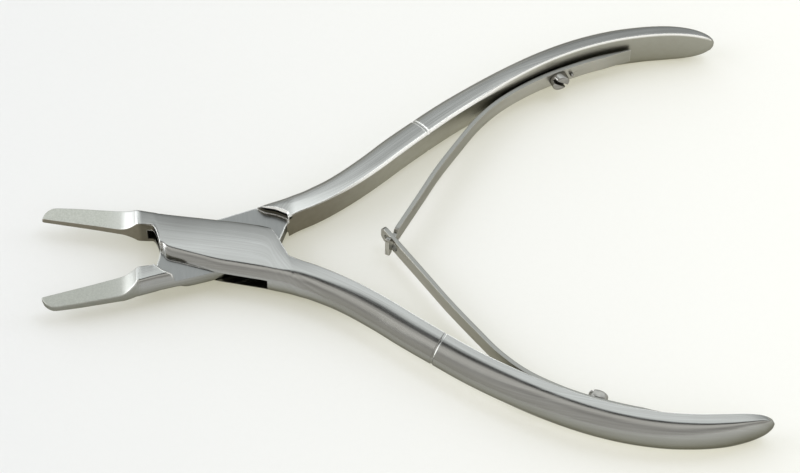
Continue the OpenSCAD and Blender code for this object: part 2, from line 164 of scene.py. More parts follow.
def lever_rows(s):
    """Cross sections from jaw tip to handle end. Returns the rows, each with the relief of its ground underside
    appended.
    """
    out = []
    for i in range(len(FRONT) - 1):
        step = 4 if (6 <= i <= 13 or i <= 3 or 15 <= i <= 21) else 5
        for k in range(step):
            f = k / step
            crisp = i in (12, 13)   # the ramp meets the flat of the box in a crisp edge
            out.append(FRONT[i] * (1 - f) + FRONT[i + 1] * f if crisp else monotone(FRONT, i + f))
    out.append(FRONT[-1])
    ts = list(np.arange(0, 6.86, 0.125))
    ts += [GROOVE_AT + GROOVE_HALF * q for q in (-1.25, -1.0, -0.97, -0.88, -0.72, -0.5, -0.25, 0, 0.25, 0.5, 0.72, 0.88, 0.97, 1.0, 1.25)]
    ts += list(np.arange(7.14, 17.9, 0.125)) + list(np.arange(17.95, 18.99, 0.06)) + [19.0]
    for t in ts:
        r = along(REAR, t).copy()
        q = abs(t - GROOVE_AT) / GROOVE_HALF
        if q < 0.999:
            dp = GROOVE_DEPTH * math.sqrt(1 - q * q)
            A, B = r[0:2].copy(), r[2:4].copy()
            U = (B - A) / np.linalg.norm(B - A)
            C = B - U * dp
            r[2:4] = C
            r[4] -= dp
            r[7] -= dp * 0.3
            r[8] -= dp
        out.append(r)
    rows = []
    for r in out:
        r = np.array(r, float)
        # the edge between the top and the inner face is softened by polishing, most of all on the tongue lever
        k = 1 / (1 + math.exp(-(r[0] - 24) / 3)) if r[0] > 14.3 else 0.0
        soft = (0.72 if s > 0 else 0.34) * k
        r[5], r[6] = max(r[5], soft), max(r[6], soft * 1.1)
        relief = 0.65 * ease(r[0], -18, -15.5) * (1 - ease(r[0], -7, -5)) if s > 0 else -0.30 * (1 - ease(r[0], -12, -4))
        r[1] += lean(r[0], s)
        r[3] += lean(r[2], s)
        rows.append(np.append(r, relief))
    return rows


def crease(x):
    """How abruptly the rounded flank starts from the top: 1.5 is a distinct line, 2 is a plain ellipse."""
    return 1.5 + 0.2 * ease(x, 12, 27) - 0.17 * ease(x, 24, 33) * (1 - ease(x, 50, 62)) + 0.3 * ease(x, 88, 99)


def crown(x, w):
    """Height factor at w of the width: highest along the middle of the box, along the inner edge of the handle."""
    c = 0.46 * (1 - ease(x, 13, 26))
    k = 0.03 + 0.055 * ease(x, -13, -6) + 0.015 * ease(x, 13, 26)
    return 1 - k * ((w - c) / (1 - c)) ** 2


def ring(r, n=9):
    """Closed cross section, counter-clockwise seen from the jaw end; the top and underside carry a slight crown."""
    A, B = r[0:2], r[2:4]
    L = float(np.linalg.norm(B - A))
    U = (B - A) / L
    h, m = r[4], r[9]
    ra, va = min(r[5], L * 0.45), min(r[6], h - 0.04)
    rb, vb = min(r[7], L * 0.8), min(r[8], h - 0.04)

    def quarter(m1, m2, n):
        out = []
        for k in range(n + 1):
            a = math.radians(90 * k / n)
            out.append((1 - max(0.0, math.cos(a)) ** (2 / m1), math.sin(a) ** (2 / m2)))
        return out
    nb = n + 5
    qa, qb = quarter(2, 2, n), quarter(crease(r[0]) if rb > 0.9 else 2, m, nb)
    flat = (0.04, 0.2, 0.4, 0.6, 0.8, 0.96)
    top = [(ra * q[0], h - va + va * q[1]) for q in qa]
    u0, u1 = ra, L - rb
    top += [(u0 + (u1 - u0) * f, h) for f in flat]
    top += [(L - rb * qb[nb - k][0], h - vb + vb * qb[nb - k][1]) for k in range(nb + 1)]
    side = [(L, (h - vb) * f) for f in (0.5, 0.0, -0.5)]
    bottom = [(u, -z) for u, z in reversed(top)]
    aside = [(0.0, -(h - va) * f) for f in (0.5, 0.0, -0.5)]
    uz = top + side + bottom + aside
    pts = []
    for u, z in uz:
        g = crown(r[0], u / L)
        if z < 0:
            # the underside is ground up at the root of the jaws, on the tongue lever towards side A, on the box towards side B
            g *= 1 - (r[10] * (1 - u / L) if r[10] > 0 else -r[10] * u / L)
        pts.append((A[0] + U[0] * u, A[1] + U[1] * u, z * g))
    return pts, uz, L


def new_object(name, verts, faces, uvs=None):
    me = bpy.data.meshes.new(name)
    me.from_pydata(verts, [], faces)
    if uvs is not None:
        layer = me.uv_layers.new(name="UVMap")
        flat = []
        for f, face_uv in zip(faces, uvs):
            flat.extend(face_uv)
        layer.data.foreach_set("uv", np.array(flat, float).ravel())
    me.validate()
    me.update()
    ob = bpy.data.objects.new(name, me)
    bpy.context.scene.collection.objects.link(ob)
    return ob


def forging(name, s, flip):
    """The whole lever as one closed skin, in millimetres, then scaled to metres."""
    rows = lever_rows(s)
    rings, dist, acc = [], [], 0.0
    prev = None
    for r in rows:
        pts, uz, L = ring(r)
        c = np.array([(r[0] + r[2]) / 2, (r[1] + r[3]) / 2])
        if prev is not None:
            acc += float(np.linalg.norm(c - prev))
        prev = c
        rings.append(pts)
        dist.append(acc)
    cnt = len(rings[0])
    per = []
    for pts in rings:
        p = [0.0]
        for j in range(cnt):
            a, b = np.array(pts[j]), np.array(pts[(j + 1) % cnt])
            p.append(p[-1] + float(np.linalg.norm(b - a)))
        per.append(p)
    sy = -1.0 if flip else 1.0
    verts = [(x * MM, sy * y * MM, (z + ZC) * MM) for pts in rings for x, y, z in pts]
    faces, uvs = [], []
    for i in range(len(rings) - 1):
        for j in range(cnt):
            a, b = i * cnt + j, i * cnt + (j + 1) % cnt
            d, e = a + cnt, b + cnt
            f = [a, b, e, d]
            uv = [(dist[i], per[i][j]), (dist[i], per[i][j + 1]), (dist[i + 1], per[i + 1][j + 1]), (dist[i + 1], per[i + 1][j])]
            if flip:
                f.reverse()
                uv.reverse()
            faces.append(f)
            uvs.append([(u * MM, v * MM) for u, v in uv])
    cap0 = [j for j in range(cnt)][::-1]
    cap1 = [(len(rings) - 1) * cnt + j for j in range(cnt)]
    if flip:
        cap0.reverse()
        cap1.reverse()
    faces += [cap0, cap1]
    uvs += [[(0.0, 0.0)] * cnt, [(dist[-1] * MM, 0.0)] * cnt]
    ob = new_object(name, verts, faces, uvs)
    bm = bmesh.new()
    bm.from_mesh(ob.data)
    bmesh.ops.recalc_face_normals(bm, faces=bm.faces)
    bm.to_mesh(ob.data)
    bm.free()
    return ob


def rounded(poly, radii, n=4):
    """Polygon with rounded corners; radii is one number, or one for each corner."""
    out = []
    m = len(poly)
    for i in range(m):
        p0, p, p1 = (np.array(poly[(i + k) % m], float) for k in (-1, 0, 1))
        r = radii if not hasattr(radii, "__len__") else radii[i]
        a, b = p0 - p, p1 - p
        la, lb = np.linalg.norm(a), np.linalg.norm(b)
        a, b = a / la, b / lb
        if r <= 0 or abs(float(a @ b)) > 0.999:
            out.append(tuple(p))
            continue
        half = math.acos(max(-1, min(1, float(a @ b)))) / 2
        t = min(r / math.tan(half), la * 0.45, lb * 0.45)
        q0, q1 = p + a * t, p + b * t
        for k in range(n + 1):
            f = k / n
            out.append(tuple((1 - f) ** 2 * q0 + 2 * f * (1 - f) * p + f * f * q1))
    return out


def offset(poly, d):
    """Polygon moved outwards by d (its own area grows), corner by corner."""
    m = len(poly)
    area = sum(poly[i][0] * poly[(i + 1) % m][1] - poly[(i + 1) % m][0] * poly[i][1] for i in range(m))
    sg = 1.0 if area > 0 else -1.0
    out = []
    for i in range(m):
        p0, p, p1 = (np.array(poly[(i + k) % m], float) for k in (-1, 0, 1))
        e0, e1 = p - p0, p1 - p
        n0 = np.array([e0[1], -e0[0]]) / max(np.linalg.norm(e0), 1e-9) * sg
        n1 = np.array([e1[1], -e1[0]]) / max(np.linalg.norm(e1), 1e-9) * sg
        nn = n0 + n1
        l2 = float(nn @ nn)
        k = 2.0 / l2 if l2 > 0.3 else 1.0
        out.append(tuple(p + nn * d * min(k, 1.6)))
    return out


def prism(name, levels, flip=False):
    """Closed solid through polygons of equal length, each (polygon, z) in millimetres."""
    sy = -1.0 if flip else 1.0
    c = len(levels[0][0])
    verts = [(x * MM, sy * y * MM, z * MM) for poly, z in levels for x, y in poly]
    faces = [[i * c + j, i * c + (j + 1) % c, (i + 1) * c + (j + 1) % c, (i + 1) * c + j] for i in range(len(levels) - 1) for j in range(c)]
    faces += [list(range(c))[::-1], [(len(levels) - 1) * c + j for j in range(c)]]
    ob = new_object(name, verts, faces)
    bm = bmesh.new()
    bm.from_mesh(ob.data)
    bmesh.ops.recalc_face_normals(bm, faces=bm.faces)
    bm.to_mesh(ob.data)
    bm.free()
    return ob


def lathe(name, profile, centre, axis, n=48):
    """Solid of revolution: profile of (radius, height) in millimetres, about an axis through centre."""
    axis = np.array(axis, float) / np.linalg.norm(axis)
    ref = np.array([0, 0, 1.0]) if abs(axis[2]) < 0.9 else np.array([1.0, 0, 0])
    e1 = np.cross(ref, axis); e1 /= np.linalg.norm(e1)
    e2 = np.cross(axis, e1)
    c = np.array(centre, float)
    verts, idx = [], []
    for r, h in profile:
        if r < 1e-6:
            idx.append([len(verts)])
            verts.append(tuple((c + axis * h) * MM))
        else:
            row = []
            for k in range(n):
                a = 2 * math.pi * k / n
                row.append(len(verts))
                verts.append(tuple((c + axis * h + (e1 * math.cos(a) + e2 * math.sin(a)) * r) * MM))
            idx.append(row)
    faces = []
    for a, b in zip(idx[:-1], idx[1:]):
        for k in range(n):
            k2 = (k + 1) % n
            if len(a) == 1 and len(b) == 1:
                continue
            if len(a) == 1:
                faces.append([a[0], b[k], b[k2]])
            elif len(b) == 1:
                faces.append([a[k], b[0], a[k2]])
            else:
                faces.append([a[k], b[k], b[k2], a[k2]])
    ob = new_object(name, verts, faces)
    bm = bmesh.new()
    bm.from_mesh(ob.data)
    bmesh.ops.recalc_face_normals(bm, faces=bm.faces)
    bm.to_mesh(ob.data)
    bm.free()
    return ob


def cut(ob, tools):
    """Boolean difference with each tool in turn; the tools are then removed."""
    for t in tools:
        m = ob.modifiers.new("cut", "BOOLEAN")
        m.operation = "DIFFERENCE"
        m.solver = "EXACT"
        m.object = t
        bpy.context.view_layer.update()
        dg = bpy.context.evaluated_depsgraph_get()
        me = bpy.data.meshes.new_from_object(ob.evaluated_get(dg))
        ob.modifiers.clear()
        old = ob.data
        ob.data = me
        bpy.data.meshes.remove(old)
        bpy.data.objects.remove(t)
        if len(me.polygons) < 50:
            raise RuntimeError("cut emptied " + ob.name)
    return ob


def finish_shading(ob, angle=32):
    ob.data.polygons.foreach_set("use_smooth", [True] * len(ob.data.polygons))
    ob.data.set_sharp_from_angle(angle=math.radians(angle))
    ob.data.update()


# ------------------------------------------------------------------ levers
TONGUE_T, GAP = 2.8, 0.1
SLOT = [(-13.1, 5.6), (-13.1, -20), (9.0, -20), (10.1, -8.3), (13.95, -4.75), (16.5, -3.4), (30, 2), (30, 20), (-3.5, 20), (-9.4, 9.2)]
SHOULDER = [(-12.0, 6), (-12.6, -3.7), (-11.2, -4.75), (-10.1, -5.75), (-8.3, -6.85), (-7.0, -8.2), (-6.2, -20),
            (17.5, -20), (14.9, 3.5), (14.7, 5.9), (12.4, 7.1), (10.3, 7.65), (8.8, 8.6), (7.0, 14), (-11, 14)]

box = forging("box_lever_forging", -1, True)
slot_half = TONGUE_T / 2 + GAP
cut(box, [prism("slot_tool", [(SLOT, ZC - slot_half), (SLOT, ZC + slot_half)]),
          lathe("bore_tool", [(0, 0.3), (2.2, 0.3), (2.2, 7.1), (0, 7.1)], (0, 0, 0), (0, 0, 1), 64)])

tongue = forging("tongue_lever_forging", 1, False)
SOFT = [0, 0.5, 0.5, 0.4, 0.5, 0.6, 0, 0, 0.6, 0.6, 0.7, 0.7, 0.6, 0, 0]
smooth_shoulder = rounded(SHOULDER, SOFT, 3)
wide = rounded(offset(SHOULDER, 0.22), SOFT, 3)
wider = rounded(offset(SHOULDER, 0.34), SOFT, 3)
top0 = ZC + TONGUE_T / 2
cut(tongue, [prism("shoulder_top", [(smooth_shoulder, top0), (smooth_shoulder, 6.98), (wide, 7.26), (wider, 7.46), (wider, 9.0)]),
             prism("shoulder_low", [(wider, -1.6), (wider, -0.06), (wide, 0.14), (smooth_shoulder, 0.42), (smooth_shoulder, ZC - TONGUE_T / 2)]),
             lathe("bore_tool", [(0, -1), (2.24, -1), (2.24, 8.4), (0, 8.4)], (0, 0, 0), (0, 0, 1), 64)])
for ob in (box, tongue):
    finish_shading(ob)

# the pin is riveted and ground until its ends can't be told from the box, so its visible ends are the box's own skin
pin_prof = [(0, -3.39), (1.9, -3.39), (2.19, -3.2), (2.19, 3.2), (1.9, 3.39), (0, 3.39)]
pin = lathe("pivot_pin_ground", pin_prof, (0, 0, ZC), (0, 0, 1), 64)
finish_shading(pin, 50)

# ------------------------------------------------------------------ springs
LEAF_T, LEAF_W = 0.9, 4.0
ANG = math.radians(57)
LU = np.array([math.cos(ANG), math.sin(ANG)])


def link(s):
    return np.array([35.0, 0.4 * s])


def leaf_curve(s):
    rows = [[87.2, 42.9], [81.0, 41.75]] if s > 0 else [[85.8, 42.65], [81.0, 41.75]]
    rows += [[75.8, 40.25], [69.5, 37.95], [63.9, 35.2], [58.6, 31.75]]
    rows += [[54.0, 27.5], [50.15, 22.7]] if s > 0 else [[54.1, 27.45], [50.35, 22.55]]
    rows += [link(s) + k * LU for k in (18.9, 11.5, 4.0, -3.5)]
    return np.array([np.array(r, float) for r in rows])


SC_T = 2.68
_c = leaf_curve(1)
SCREW_C = along(_c, SC_T)
_d = along(_c, SC_T + 0.01) - along(_c, SC_T - 0.01)
SCREW_A = math.atan2(-_d[1], -_d[0])


def half_width(X, s):
    """Half width of a leaf at X, measured past the link along its straight end."""
    if s > 0:
        if X < -2.2:
            return 2.0
        if X < -1.45:
            return 1.5 + math.sqrt(max(0, 0.25 - (X + 2.2) ** 2)) if X < -1.7 else 0.95 + 0.55 * max(0.0, (-1.45 - X) / 0.25) ** 0.5
        if X < 0.75:
            return 0.95
        return 2.2 + math.sqrt(max(0.0, 0.62 ** 2 - (X - 1.37) ** 2))
    if X < 1.7:
        return 2.0
    return 0.7 + math.sqrt(max(0.0, 1.3 ** 2 - (X - 1.7) ** 2))


def leaf(name, s, flip):
    rows = leaf_curve(s)
    L0 = link(s)
    ts = list(np.arange(0, 10.0, 0.1))
    # straight end, by distance past the link
    if s > 0:
        X_end = [-4, -3.2, -2.6, -2.25, -2.1, -1.95, -1.82, -1.73, -1.66, -1.58, -1.5, -1.45, -1.2, -0.6, 0, 0.5, 0.745,
                 0.755, 0.80, 0.90, 1.05, 1.2, 1.37, 1.55, 1.7, 1.83, 1.92, 1.975]
    else:
        X_end = [-4, -3, -2, -1, 0, 0.8, 1.4, 1.7, 1.95, 2.2, 2.4, 2.6, 2.75, 2.87, 2.95, 2.985]
    stations = []
    for t in ts:
        p = along(rows, t)
        X = float((L0 - p) @ LU) * 1.0
        if X > -4.05:
            break
        q = along(rows, t + 0.02) - along(rows, max(0, t - 0.02))
        stations.append((p, q / np.linalg.norm(q), min(X, -4.05)))
    for X in X_end:
        stations.append((L0 - LU * X, -LU, X))
    c = 0.13
    verts, faces, uvs = [], [], []
    acc, prev = 0.0, None
    dist = []
    for k, (p, d, X) in enumerate(stations):
        nrm = np.array([-d[1], d[0]])
        w = half_width(X, s)
        if k == 0:
            w -= 0.06
        t2 = LEAF_T / 2
        if k == 0 or k == len(stations) - 1:
            t2 -= 0.06
        e = min(c, w * 0.4)
        sec = []
        for (sx, sz, a0) in ((1, 1, 0), (-1, 1, 90), (-1, -1, 180), (1, -1, 270)):
            for q in range(4):
                a = math.radians(a0 + 30 * q)
                sec.append((sx * (t2 - e) + e * math.cos(a), sz * (w - e) + e * math.sin(a)))
            # points that keep the flats flat
            if a0 == 0:
                sec += [(t2 - e - 0.08, w), (-(t2 - e - 0.08), w)]
            elif a0 == 90:
                sec += [(-t2, w - e - 0.1), (-t2, 0), (-t2, -(w - e - 0.1))]
            elif a0 == 180:
                sec += [(-(t2 - e - 0.08), -w), (t2 - e - 0.08, -w)]
            else:
                sec += [(t2, -(w - e - 0.1)), (t2, 0), (t2, w - e - 0.1)]
        if prev is not None:
            acc += float(np.linalg.norm(p - prev))
        prev = p
        dist.append(acc)
        thin = 0.28 + 0.72 * ease(acc, 0.0, 6.0)   # the tail is ground thin against the handle
        for u, z in sec:
            q = p + nrm * ((u + LEAF_T / 2) * thin - LEAF_T / 2)
            verts.append((q[0] * MM, (-1 if flip else 1) * q[1] * MM, (z + ZC) * MM))
    n = len(sec)
    for i in range(len(stations) - 1):
        for j in range(n):
            a, b = i * n + j, i * n + (j + 1) % n
            f = [a, b, b + n, a + n]
            uv = [(dist[i], j / n * 9), (dist[i], (j + 1) / n * 9), (dist[i + 1], (j + 1) / n * 9), (dist[i + 1], j / n * 9)]
            faces.append(f)
            uvs.append([(x * MM, y * MM) for x, y in uv])
    faces += [list(range(n))[::-1], [(len(stations) - 1) * n + j for j in range(n)]]
    uvs += [[(0, 0)] * n, [(0, 0)] * n]
    ob = new_object(name, verts, faces, uvs)
    bm = bmesh.new()
    bm.from_mesh(ob.data)
    bmesh.ops.recalc_face_normals(bm, faces=bm.faces)
    bm.to_mesh(ob.data)
    bm.free()
    return ob


def screw_frame(flip):
    """Centre on the leaf, direction along the handle and direction out of the handle, at a spring screw."""
    sy = -1.0 if flip else 1.0
    c = np.array([SCREW_C[0], sy * SCREW_C[1], ZC])
    ex = np.array([math.cos(SCREW_A), sy * math.sin(SCREW_A), 0.0])
    out = np.array([math.sin(SCREW_A), -sy * math.cos(SCREW_A), 0.0])
    return c, ex, out


def slab(name, centre, e1, e2, e3, a, b, c):
    """Block with half sizes a, b, c along three directions, for cutting."""
    C = np.array(centre, float)
    vs = []
    for i in (-1, 1):
        for j in (-1, 1):
            for k in (-1, 1):
                vs.append(tuple((C + np.array(e1) * a * i + np.array(e2) * b * j + np.array(e3) * c * k) * MM))
    fs = [[0, 1, 3, 2], [4, 6, 7, 5], [0, 4, 5, 1], [2, 3, 7, 6], [0, 2, 6, 4], [1, 5, 7, 3]]
    ob = new_object(name, vs, fs)
    bm = bmesh.new()
    bm.from_mesh(ob.data)
    bmesh.ops.recalc_face_normals(bm, faces=bm.faces)
    bm.to_mesh(ob.data)
    bm.free()
    return ob


leaves = {}
for nm, s, flip in (("upper_leaf_strip", 1, False), ("lower_leaf_strip", -1, True)):
    ob = leaf(nm, s, flip)
    c, ex, out = screw_frame(flip)
    tools = [lathe("t1", [(0, -3), (1.15, -3), (1.15, 3), (0, 3)], c, out, 32),
             lathe("t2", [(0, -3), (0.41, -3), (0.41, 3), (0, 3)], c + ex * 3.0, out, 20)]
    if s < 0:
        L0 = link(-1)
        u = np.array([LU[0], -LU[1], 0.0])
        nn = np.array([LU[1], LU[0], 0.0])
        poly = []
        for q in range(13):
            a = math.radians(90 + 180 * q / 12)
            poly.append((-1.1 + 1.25 * math.cos(a), 1.25 * math.sin(a)))
        for q in range(13):
            a = math.radians(-90 + 180 * q / 12)
            poly.append((0.6 + 1.25 * math.cos(a), 1.25 * math.sin(a)))
        base = np.array([L0[0], -L0[1], ZC])
        vs = []
        for side in (-2, 2):
            for X, z in poly:
                vs.append(tuple((base - u * X + np.array([0, 0, z]) + nn * side) * MM))
        k = len(poly)
        fs = [[j, (j + 1) % k, k + (j + 1) % k, k + j] for j in range(k)] + [list(range(k))[::-1], [k + j for j in range(k)]]
        t3 = new_object("t3", vs, fs)
        bm = bmesh.new(); bm.from_mesh(t3.data); bmesh.ops.recalc_face_normals(bm, faces=bm.faces); bm.to_mesh(t3.data); bm.free()
        tools.append(t3)
    cut(ob, tools)
    finish_shading(ob, 40)
    leaves[s] = ob

# ------------------------------------------------------------------ screws and locating pins
fasteners = {}
HEAD_R, HEAD_H = 1.9, 1.8
for nm, flip in (("upper", False), ("lower", True)):
    c, ex, out = screw_frame(flip)
    h0, h1 = LEAF_T / 2 + 0.05, LEAF_T / 2 + HEAD_H
    prof = [(0, -3.7), (0.75, -3.7), (1.0, -3.4), (1.0, h0), (HEAD_R - 0.14, h0), (HEAD_R - 0.04, h0 + 0.05), (HEAD_R, h0 + 0.16)]
    for q in range(0, 8):
        a = math.radians(90 * q / 7)
        prof.append((HEAD_R - 0.38 + 0.38 * math.cos(a), h1 - 0.38 + 0.38 * math.sin(a)))
    prof += [(0.8, h1), (0, h1)]
    ob = lathe(nm + "_cheese_head_screw", prof, c, out, 64)
    z = np.array([0, 0, 1.0])
    d1 = (ex + z) / math.sqrt(2) if not flip else (ex + z) / math.sqrt(2)
    d2 = (ex - z) / math.sqrt(2)
    cut(ob, [slab("sl", c + out * (h1 - 0.95 + 1.0), d2, d1, out, 3.0, 0.4, 1.0)])
    finish_shading(ob, 35)
    p = lathe(nm + "_dowel", [(0, -2.8), (0.35, -2.8), (0.35, h0 + 0.55), (0.31, h0 + 0.67), (0.22, h0 + 0.74), (0, h0 + 0.75)], c + ex * 3.0, out, 28)
    finish_shading(p, 40)
    fasteners[nm] = (ob, p)

# ------------------------------------------------------------------ bodies
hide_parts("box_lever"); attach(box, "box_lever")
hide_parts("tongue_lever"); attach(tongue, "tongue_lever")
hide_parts("pivot_pin"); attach(pin, "box_lever")
for nm, body in (("upper", "tongue_lever"), ("lower", "box_lever")):
    sc, dp = fasteners[nm]
    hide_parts(nm + "_spring_screw"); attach(sc, body)
    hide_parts(nm + "_spring_locating_pin"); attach(dp, body)
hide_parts("upper_spring")
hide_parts("lower_spring")
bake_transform(leaves[1])
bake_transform(leaves[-1])


# ------------------------------------------------------------------ materials
class Nodes:
    def __init__(self, tree):
        self.t = tree

    def add(self, kind, **props):
        n = self.t.nodes.new(kind)
        for k, v in props.items():
            setattr(n, k, v)
        return n

    def link(self, a, b):
        self.t.links.new(a, b)

    def math(self, op, a, b=None, c=None, clamp=False):
        n = self.add("ShaderNodeMath", operation=op, use_clamp=clamp)
        for i, v in enumerate((a, b, c)):
            if v is None:
                continue
            if hasattr(v, "is_linked"):
                self.link(v, n.inputs[i])
            else:
                n.inputs[i].default_value = v
        return n.outputs[0]

    def noise(self, vec, scale, detail=3.0, rough=0.5, dims="3D"):
        n = self.add("ShaderNodeTexNoise", noise_dimensions=dims)
        n.inputs["Scale"].default_value = scale
        n.inputs["Detail"].default_value = detail
        n.inputs["Roughness"].default_value = rough
        self.link(vec, n.inputs["Vector"])
        return n.outputs["Fac"]

    def scaled(self, vec, scale, rot=(0, 0, 0)):
        m = self.add("ShaderNodeMapping")
        m.inputs["Scale"].default_value = scale
        m.inputs["Rotation"].default_value = rot
        self.link(vec, m.inputs["Vector"])
        return m.outputs[0]

    def remap(self, v, a, b, c, d, kind="SMOOTHSTEP"):
        n = self.add("ShaderNodeMapRange", interpolation_type=kind)
        for i, x in zip((1, 2, 3, 4), (a, b, c, d)):
            n.inputs[i].default_value = x
        self.link(v, n.inputs[0])
        return n.outputs[0]

    def mix(self, f, a, b):
        n = self.add("ShaderNodeMix", data_type="RGBA")
        for s, v in ((0, f), (6, a), (7, b)):
            if hasattr(v, "is_linked"):
                self.link(v, n.inputs[s])
            else:
                n.inputs[s].default_value = v
        return n.outputs[2]

    def mixf(self, f, a, b):
        n = self.add("ShaderNodeMix", data_type="FLOAT")
        for s, v in ((0, f), (2, a), (3, b)):
            if hasattr(v, "is_linked"):
                self.link(v, n.inputs[s])
            else:
                n.inputs[s].default_value = v
        return n.outputs[0]


def steel(name, base, dark, rough, rough_var, streak, bump, jaw=False, bevel=0.00010, coords="UV", inner=None, crevice=False, tongue_faces=None, far_shade=None, top=None, edge=0.0):
    mat = bpy.data.materials.new(name)
    mat.use_nodes = True
    t = mat.node_tree
    for n in list(t.nodes):
        t.nodes.remove(n)
    N = Nodes(t)
    painted_highlights = []   # masks of painted highlights
    out = N.add("ShaderNodeOutputMaterial")
    p = N.add("ShaderNodeBsdfPrincipled")
    N.link(p.outputs[0], out.inputs[0])
    p.inputs["Metallic"].default_value = 1.0
    p.inputs["Specular Tint"].default_value = (0.42, 0.415, 0.39, 1)
    tc = N.add("ShaderNodeTexCoord")
    obj = tc.outputs["Object"]
    src = tc.outputs[coords]
    fine = N.noise(N.scaled(src, streak), 1.0, 3.0, 0.6)
    sp = N.add("ShaderNodeSeparateXYZ")
    N.link(obj, sp.inputs[0])
    sn = N.add("ShaderNodeSeparateXYZ")
    N.link(tc.outputs["Normal"], sn.inputs[0])
    broad = N.noise(N.scaled(src, (streak[0] * 0.35, streak[1] * 0.22, streak[2] * 0.22)), 1.0, 2.0, 0.5)
    cloud = N.noise(obj, 120.0, 3.0, 0.55)
    grain = N.noise(obj, 5200.0, 2.0, 0.6)
    # colour: streaks and faint clouding
    v = N.math("ADD", N.math("MULTIPLY", fine, 0.45), N.math("ADD", N.math("MULTIPLY", broad, 0.35), N.math("MULTIPLY", cloud, 0.20)))
    v = N.remap(v, 0.36, 0.64, 0.0, 1.0, "LINEAR")
    col = N.mix(v, dark, base)
    r = N.math("ADD", N.math("MULTIPLY", N.math("SUBTRACT", fine, 0.5), rough_var), rough)
    r = N.math("ADD", r, N.math("MULTIPLY", N.math("SUBTRACT", cloud, 0.5), rough_var * 0.8))
    height = N.math("ADD", N.math("MULTIPLY", fine, 1.0), N.math("MULTIPLY", broad, 0.7))
    if jaw:
        sx = N.add("ShaderNodeSeparateXYZ")
        N.link(obj, sx.inputs[0])
        f = N.remap(sx.outputs[0], -0.0158, -0.0140, 1.0, 0.0)
        mott = N.noise(obj, 3000.0, 3.0, 0.65)
        jcol = N.mix(N.remap(mott, 0.3, 0.7, 0.0, 1.0, "LINEAR"), jaw[0], jaw[1])
        # painted shade darkens the sides of the jaws by their slope, and the lower jaw as a whole is painted darker
        jcol = N.mix(N.remap(sn.outputs[2], 0.7, 0.3, 0.0, 0.55), jcol, (0.25, 0.25, 0.215, 1))
        jcol = N.mix(N.remap(sp.outputs[1], 0.001, -0.001, 0.0, 0.30), jcol, (0.20, 0.205, 0.20, 1))
        # painted highlight: the ramps that step down to the jaw faces are painted bright
        ramp = N.math("MULTIPLY", N.remap(sn.outputs[0], -0.04, -0.30, 0.0, 1.0), N.remap(sn.outputs[2], 0.3, 0.6, 0.0, 1.0))
        ramp = N.math("MULTIPLY", ramp, N.remap(sp.outputs[0], -0.0192, -0.0166, 0.40, 1.0))
        ramp = N.math("MAXIMUM", ramp, N.math("MULTIPLY", N.remap(sp.outputs[0], -0.0222, -0.0178, 0.0, 0.42), N.remap(sn.outputs[2], 0.5, 0.8, 0.0, 1.0)))
        ramp = N.math("MULTIPLY", ramp, N.remap(sp.outputs[1], -0.002, 0.002, 0.35, 1.0))
        ramp = N.math("MULTIPLY", ramp, N.remap(sp.outputs[0], -0.0138, -0.0146, 0.0, 1.0))
        col = N.mix(f, col, jcol)
        col = N.mix(ramp, col, (0.70, 0.705, 0.70, 1))
        r = N.mixf(f, r, N.math("ADD", N.math("MULTIPLY", N.math("SUBTRACT", mott, 0.5), 0.15), jaw[2]))
        height = N.mixf(f, height, N.math("MULTIPLY", mott, 0.9))
    if inner:
        # faces that look towards the other lever are left as milled, rough and slightly brown; painted shade darkens
        # them towards the box, between the handles
        facing = N.math("MULTIPLY", N.math("MULTIPLY", sn.outputs[1], N.math("SIGN", sp.outputs[1])), -1.0)
        g = N.remap(facing, 0.35, 0.75, 0.0, 1.0)
        mill = N.noise(obj, 700.0, 3.0, 0.6)
        out_along = N.remap(sp.outputs[0], 0.018, 0.040, 0.0, 1.0)
        icol = N.mix(out_along, N.mix(mill, inner[0], inner[1]), N.mix(mill, inner[3], inner[4]))
        col = N.mix(g, col, icol)
        r = N.mixf(g, r, N.math("ADD", N.math("MULTIPLY", N.math("SUBTRACT", mill, 0.5), 0.15), inner[2]))
        height = N.mixf(g, height, N.math("ADD", N.math("MULTIPLY", mill, 0.6), N.math("MULTIPLY", fine, 0.3)))
    if inner:
        # painted shade, warm like the shaded table they reflect, darkens the underside and the lower half of the flanks
        # the inner faces are painted darker towards the handle end
        col = N.mix(N.math("MULTIPLY", N.remap(sp.outputs[0], 0.055, 0.085, 0.0, 0.45), g), col, (0.20, 0.20, 0.165, 1))
        low_shade = N.math("MULTIPLY", N.remap(sp.outputs[2], 0.0066, 0.0016, 0.0, 0.62), N.math("SUBTRACT", 1.0, g))
        col = N.mix(low_shade, col, (0.235, 0.230, 0.170, 1))
        flank = N.math("MULTIPLY", N.remap(sp.outputs[2], 0.0070, 0.0045, 0.0, 0.42), N.remap(sp.outputs[0], 0.014, 0.024, 0.0, 1.0))
        col = N.mix(N.math("MULTIPLY", flank, N.math("SUBTRACT", 1.0, g)), col, (0.200, 0.198, 0.160, 1))
    if tongue_faces:
        # the flats of the tongue are ground square to the length; painted shade keeps them darker than the polished
        # outside, where the cheek of the box overshadows them
        up = N.remap(sn.outputs[2], 0.90, 0.97, 0.0, 1.0)
        low = N.remap(sp.outputs[2], 0.0066, 0.0063, 0.0, 1.0)
        near = N.math("MULTIPLY", N.remap(sp.outputs[0], -0.0145, -0.0140, 0.0, 1.0), N.remap(sp.outputs[0], 0.020, 0.019, 0.0, 1.0))
        k = N.math("MULTIPLY", N.math("MULTIPLY", up, low), near)
        aside = N.remap(sn.outputs[1], -0.25, -0.45, 0.0, 1.0)
        cross = N.noise(N.scaled(obj, (2600, 260, 260)), 1.0, 3.0, 0.6)
        col = N.mix(k, col, N.mix(cross, tongue_faces[0], tongue_faces[1]))
        r = N.mixf(k, r, N.math("ADD", N.math("MULTIPLY", cross, 0.15), tongue_faces[2]))
